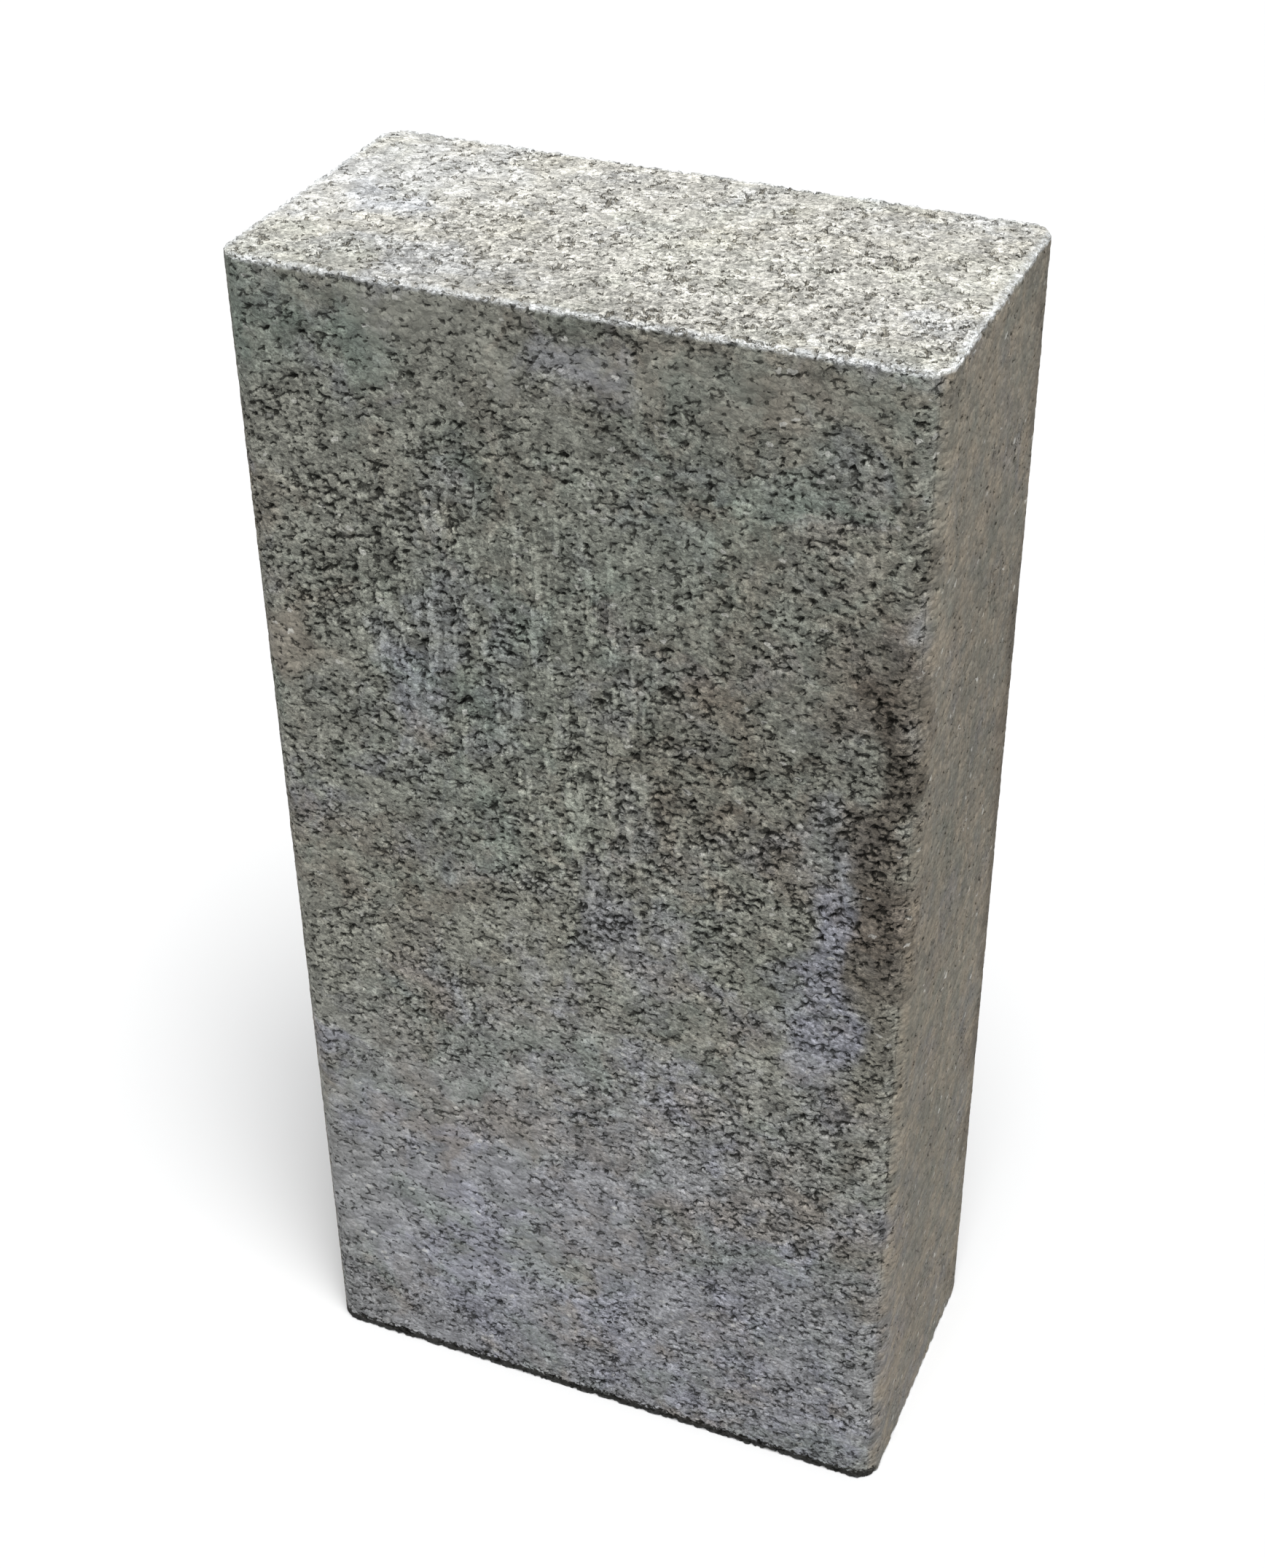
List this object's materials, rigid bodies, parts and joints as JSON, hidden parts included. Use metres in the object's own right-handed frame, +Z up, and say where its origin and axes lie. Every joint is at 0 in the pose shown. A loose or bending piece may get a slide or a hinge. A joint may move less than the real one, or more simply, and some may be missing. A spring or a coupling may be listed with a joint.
{
  "type": "solid concrete block",
  "caption": "Solid rectangular dry-cast concrete block standing on its small end, with rounded long edges, an open-grained top end and pitted moulded faces.",
  "frame": {"origin": "centre of the small end face that the block stands on", "axes": "+Z up the block's 400 mm length, +X along its 200 mm width, +Y through its 100 mm depth away from the front face"},
  "size_m": [0.2, 0.1, 0.4],
  "materials": {
    "concrete": "matte"
  },
  "bodies": {
    "root": {"concrete_block": "concrete"}
  },
  "joints": []
}
